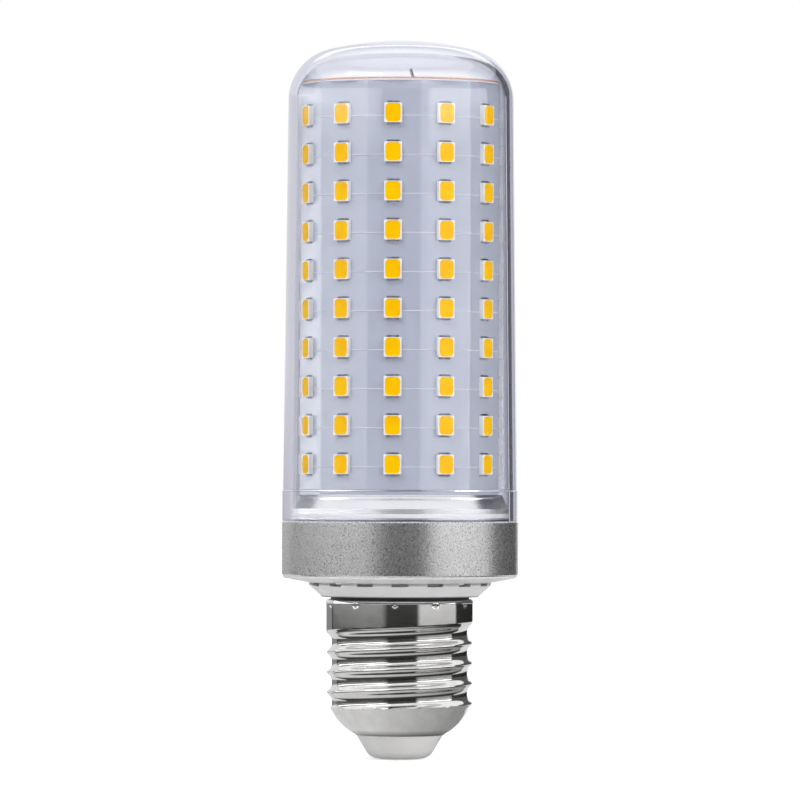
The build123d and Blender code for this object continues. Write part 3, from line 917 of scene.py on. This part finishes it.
def dome_centre(spring):
    """How far the shoulder's centre lies from the axis, and the crown's centre below it."""
    centre = cover_radius(spring) - dome_shoulder
    return centre, sqrt((dome_crown - dome_shoulder) ** 2 - centre**2)


def dome_spring():
    """The height where the dome's shoulder starts, so that its crown ends at the cover's top."""
    spring = cover_high.z - dome_shoulder
    for _ in range(spring_rounds):
        spring = cover_high.z - dome_crown + dome_centre(spring)[1]
    return spring


def dome_points(wall, spring):
    """Points from the dome's spring over the shoulder and the crown to the axis."""
    centre, drop = dome_centre(spring)
    meet = atan2(drop, centre)
    points = []
    for i in range(dome_steps):
        angle = meet * i / dome_steps
        reach = dome_shoulder - wall
        points.append((centre + reach * cos(angle), spring + reach * sin(angle)))
    for i in range(dome_steps + 1):
        angle = meet + (pi / 2 - meet) * i / dome_steps
        reach = dome_crown - wall
        points.append((max(reach * cos(angle), 0.0), spring - drop + reach * sin(angle)))
    return points


def clear_plastic():
    """Clear plastic, tinted at its rim, with painted shade lines at its step and foot, a painted pale glow
    where it mirrors itself, and open to lamplight.
    """
    material, tree, shader = finish("clear plastic", Transmission_Weight=1.0, IOR=1.5)
    marks = use(tree, skin, Peel=9.0, Cloud=30.0)
    middle = shades(tree, marks["Shade"], (0.96, 0.962, 0.98), (0.98, 0.982, 0.99))
    facing = place(tree, "ShaderNodeLayerWeight").outputs["Facing"]
    rim = spread(tree, facing, 0.0, 1.0, rim_start, rim_end)
    height = height_of(tree)
    step_height = cover_low.z + cover_band - 0.5 * cover_step
    off_step = maths(tree, "ABSOLUTE", maths(tree, "SUBTRACT", height, step_height))
    on_foot = maths(tree, "LESS_THAN", height, cover_low.z + foot_shade_band)
    step_and_foot_shade = maths(tree, "MAXIMUM", maths(tree, "LESS_THAN", off_step, step_shade_band), on_foot)
    # Painted shade: a darker blue-grey band at the step and at the foot stands for the lines they show as.
    wall = blend(tree, rim, middle, (0.43, 0.45, 0.6, 1))
    colour = blend(tree, step_and_foot_shade, wall, (0.5, 0.51, 0.57, 1))
    feed(tree, shader, Base_Color=colour, Roughness=spread(tree, marks["Height"], 0.0, 0.03))
    path = place(tree, "ShaderNodeLightPath").outputs
    soft = maths(tree, "MAXIMUM", path["Is Shadow Ray"], path["Is Diffuse Ray"])
    open_air = first_of(tree, "ShaderNodeBsdfTransparent", {"Color": (0.94, 0.945, 0.97, 1)})
    lit = first_of(tree, "ShaderNodeMixShader", {0: soft, 1: shader.outputs[0], 2: open_air})
    # Painted glow: rays that have mirrored in the cover more than twice see a flat pale emission instead of
    # what lies beyond.
    deep = maths(tree, "GREATER_THAN", path["Glossy Depth"], lost_mirrorings)
    painted_mirror_glow = first_of(tree, "ShaderNodeEmission", {"Color": (0.9, 0.9, 0.95, 1)})
    mixed = first_of(tree, "ShaderNodeMixShader", {0: deep, 1: lit, 2: painted_mirror_glow})
    tree.links.new(mixed, tree.nodes["Material Output"].inputs["Surface"])
    return material


def clear_cover():
    """The cover, with its outline from the foot up the outside, over the dome and down the inside."""
    low = cover_low.z
    step_height = low + cover_band
    spring = dome_spring()
    outer = cover_high.x
    inner = cover_radius(low) - cover_wall
    outline = line((inner, low), (outer, low), 3)
    outline += line((outer, low), (outer, step_height - cover_step), 6)
    outline += line((outer, step_height - cover_step), (cover_radius(step_height), step_height), 3)
    outline += line((cover_radius(step_height), step_height), (cover_radius(spring), spring), cover_steps)
    outline += dome_points(0, spring)
    outline += dome_points(cover_wall, spring)[::-1]
    outline += line((cover_radius(spring) - cover_wall, spring), (inner, low), cover_steps)[1:]
    piece = turned("clear_cover_moulded", outline, cover_around)
    piece.data.materials.append(clear_plastic())
    smooth(piece)
    return piece


cover = clear_cover()
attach(cover, "root")
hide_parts("clear_cover")

# Studio: a pale floor, a white surround, two soft lamps, and four small lamps inside the base for its slots.
# Grey cards stand far round the bulb. Some show only in its gloss, and the others only through its cover.
floor_half = 3.0
floor_lift = 0.6
quarters = ((-1, -1), (1, -1), (1, 1), (-1, 1))


def panel(name, corners, faces):
    """A studio mesh."""
    mesh = bpy.data.meshes.new(name)
    mesh.from_pydata(corners, [], faces)
    piece = linked(name, mesh)
    return piece


def bare(name):
    """A new material with no nodes yet."""
    material = bpy.data.materials.new(name)
    material.use_nodes = True
    material.node_tree.nodes.clear()
    return material, material.node_tree


def seen_ray(tree):
    """1 for rays that look at the surround, straight, mirrored or through clear plastic."""
    path = place(tree, "ShaderNodeLightPath").outputs
    shiny = maths(tree, "MAXIMUM", path["Is Glossy Ray"], path["Is Transmission Ray"])
    return maths(tree, "MAXIMUM", path["Is Camera Ray"], shiny)


def pale_floor():
    material, tree = bare("pale floor")
    paper = first_of(tree, "ShaderNodeBsdfDiffuse", {"Color": (0.72, 0.72, 0.72, 1)})
    lift = maths(tree, "MULTIPLY", seen_ray(tree), floor_lift)
    glow = first_of(tree, "ShaderNodeEmission", {"Color": (1, 1, 1, 1), "Strength": lift})
    both = first_of(tree, "ShaderNodeAddShader", {0: paper, 1: glow})
    place(tree, "ShaderNodeOutputMaterial", {"Surface": both})
    return material


floor = panel("floor", [(x * floor_half, y * floor_half, 0) for x, y in quarters], [(0, 1, 2, 3)])
floor.data.materials.append(pale_floor())
floor.visible_glossy = False
board_crossings = 3.0


def reflected(piece, levels, flat=False, fade=None, power=1.0, through=False, near=None):
    """Shows a card in gloss, or through clear plastic, in greys up its height or out from the axis.

    fade is the angle of full power, the angle of least power and that least power. near is the power in the
    cover's own mirroring: only rays back from the board cross the cover more than board_crossings times.
    """
    material, tree = bare(piece.name)
    here = spot(tree)
    x, y, along = split(tree, here)
    if flat:
        along = place(tree, "ShaderNodeVectorMath", {0: here}, operation="LENGTH").outputs["Value"]
    low, high = levels[0][0], levels[-1][0]
    share = spread(tree, along, 0.0, 1.0, low, high)
    grey = ramp(tree, share, [((at - low) / (high - low), (level,) * 3) for at, level in levels])
    strength = power
    if fade:
        full, dim, least = fade
        angle = maths(tree, "ARCTAN2", x, maths(tree, "MULTIPLY", y, -1.0))
        strength = spread(tree, angle, power, least, radians(full), radians(dim))
    if near is not None:
        crossings = place(tree, "ShaderNodeLightPath").outputs["Transmission Depth"]
        strength = spread(tree, maths(tree, "GREATER_THAN", crossings, board_crossings), near, power)
    glow = first_of(tree, "ShaderNodeEmission", {"Color": grey, "Strength": strength})
    place(tree, "ShaderNodeOutputMaterial", {"Surface": glow})
    piece.data.materials.append(material)
    piece.visible_camera = False
    piece.visible_diffuse = False
    piece.visible_shadow = False
    piece.visible_glossy = not through
    piece.visible_transmission = through


card_distance = 1.5
card_centre = 30 * mm
card_steps = 12


def ring_points(angles, radius, height):
    """Points round the axis. Angles go from -Y towards +X, in degrees."""
    return [(radius * sin(radians(a)), -radius * cos(radians(a)), height) for a in angles]


def card(name, first_angle, last_angle, levels, **look):
    """A curved card far round the bulb. Each grey stands at its elevation in degrees."""
    levels = [(card_centre + card_distance * tan(radians(elevation)), grey) for elevation, grey in levels]
    angles = [first_angle + (last_angle - first_angle) * i / card_steps for i in range(card_steps + 1)]
    lower = ring_points(angles, card_distance, levels[0][0])
    upper = ring_points(angles, card_distance, levels[-1][0])
    over = len(lower)
    faces = [(i, i + 1, over + i + 1, over + i) for i in range(card_steps)]
    reflected(panel(name, lower + upper, faces), levels, **look)


front_greys = [(-8, 0.012), (-1.1, 0.012), (-0.95, 0.16), (0, 0.16), (0.5, 0.04), (12, 0.04)]
front_top = [(14, 0.3), (18, 0.3), (20, 0.03), (28, 0.03)]
right_greys = [(-8, 0.1), (-1.1, 0.12), (-0.95, 0.62), (-0.2, 0.62), (0.4, 0.05), (7.4, 0.05)]
left_greys = [(-8, 0.03), (-1.1, 0.03), (-0.95, 0.42), (-0.2, 0.42), (0.4, 0.05), (7.4, 0.05)]
side_top = [(8.2, 1.0), (16.5, 1.0), (18.5, 0.04), (28, 0.04)]
back_left_greys = [(-8, 0.26), (-1.25, 0.26), (-0.95, 0.34), (0, 0.34), (3, 0.8), (28, 0.8)]
card("front_card", -20, 27, front_greys + front_top)
card("front_sheen", -20, 27, [(-8, 0.02), (20, 0.02)], through=True)
card("left_sheen", -130, -20, [(-8, 1.0), (8, 1.0)], power=8.0, near=0.3, through=True)
card("right_sheen", 27, 96, [(-8, 1.0), (8, 1.0)], power=8.0, near=0.5, through=True)
card("right_light", 27, 98, right_greys + side_top, fade=(32, 27, 0.4), power=2.9)
card("right_card", 98, 160, [(-8, 0.02), (-1, 0.02), (0, 0.1), (28, 0.1)])
card("left_card", -130, -20, left_greys + side_top, fade=(-29, -19, 0.5), power=2.3)
card("left_gap", -134, -130, [(-8, 0.03), (-1, 0.03), (0, 0.3), (28, 0.3)])
card("back_left_card", -178, -134, back_left_greys)
card("back_light", 150, 210, [(31, 1.0), (40, 1.0)], power=2.2)
card("glare", -75, -22, [(42, 1.0), (50, 1.0)], power=3.5)
card("left_edge", -178, -141, [(-8, 0.8), (9, 0.8)], through=True)
card("right_edge", 143, 154, [(-30, 0.0), (50, 0.0)], through=True)
card("right_rim", 154, 178, [(-8, 0.85), (9, 0.85)], through=True)
card("right_dark", 96, 141, [(-8, 0.06), (8.5, 0.06), (10, 0.01), (45, 0.01)], through=True)
card("right_shade", 141, 157, [(8.5, 0.01), (30, 0.01)], through=True)
card("left_shade", -141, -108, [(9.5, 0.33), (34, 0.33)], through=True)

table_reach = 0.2
table_height = 0.2 * mm
table_step = 7.5
table_side = 97.5


def table(name, first_angle, last_angle, levels, **look):
    """One side of a round card just over the floor, with greys out from the axis."""
    steps = round((last_angle - first_angle) / table_step)
    angles = [first_angle + table_step * i for i in range(steps + 1)]
    corners = ring_points(angles, table_reach, table_height)
    reflected(panel(name, corners, [tuple(range(len(corners)))]), levels, flat=True, **look)


front_table = [(0, 0.7), (30 * mm, 0.7), (46 * mm, 0.06), (table_reach, 0.06)]
table("table_front", -table_side, table_side, front_table, fade=(-50, 90, 0.45))
table("table_back", table_side, 360 - table_side, [(0, 0.75), (table_reach, 0.75)])

ambient = 0.6
world = bpy.data.worlds.new("white surround")
bpy.context.scene.world = world
world.use_nodes = True
sky = world.node_tree
surround = sky.nodes["Background"]
surround.inputs["Color"].default_value = (1, 1, 1, 1)
sky.links.new(spread(sky, seen_ray(sky), ambient, 1.0), surround.inputs["Strength"])

bulb_middle = 65 * mm
glow_across = 4.5 * mm
glow_along = 8.0 * mm
glow_size = 1.0 * mm
glow_power = 0.0002


def soft_lamp(name, angle, height, distance, size, power):
    """A soft lamp aimed at the middle of the bulb. The angle goes from -Y towards +X."""
    data = bpy.data.lights.new(name, "AREA")
    data.size = size
    data.energy = power
    lamp = linked(name, data)
    lamp.location = ring_points([angle], distance, height)[0]
    aim = Vector((0, 0, bulb_middle)) - lamp.location
    lamp.rotation_euler = aim.to_track_quat("-Z", "Y").to_euler()
    lamp.visible_camera = False
    lamp.visible_glossy = False
    lamp.visible_transmission = False


soft_lamp("key_lamp", angle=-35, height=1.0, distance=0.7, size=0.7, power=10.0)
soft_lamp("right_lamp", angle=62, height=0.5, distance=0.9, size=0.7, power=5.0)
for x, y in quarters:
    glow = bpy.data.lights.new("inner_glow", "POINT")
    glow.shadow_soft_size = glow_size
    glow.energy = glow_power
    inner_glow = linked("inner_glow", glow)
    inner_glow.location = (x * glow_across, y * glow_along, base_crease)
    inner_glow.visible_glossy = False

# Camera: level with the lower boards and a metre away, with a long lens.
# It is tilted up a little to the middle of the bulb, and rolled by a hair.
camera_distance = 1.0
camera_height = 50.2 * mm
camera_shift = -0.05 * mm
camera_roll = radians(-0.15)
aim_height = 64.65 * mm
frame_width = 144.07 * mm
camera_tilt = atan2(aim_height - camera_height, camera_distance)
camera_data = bpy.data.cameras.new("camera")
camera_data.lens = camera_data.sensor_width * camera_distance / frame_width
camera = linked("camera", camera_data)
camera.location = (camera_shift, -camera_distance, camera_height)
camera.rotation_euler = (pi / 2 + camera_tilt, camera_roll, 0)
bpy.context.scene.camera = camera
bpy.context.scene.view_settings.view_transform = "Standard"
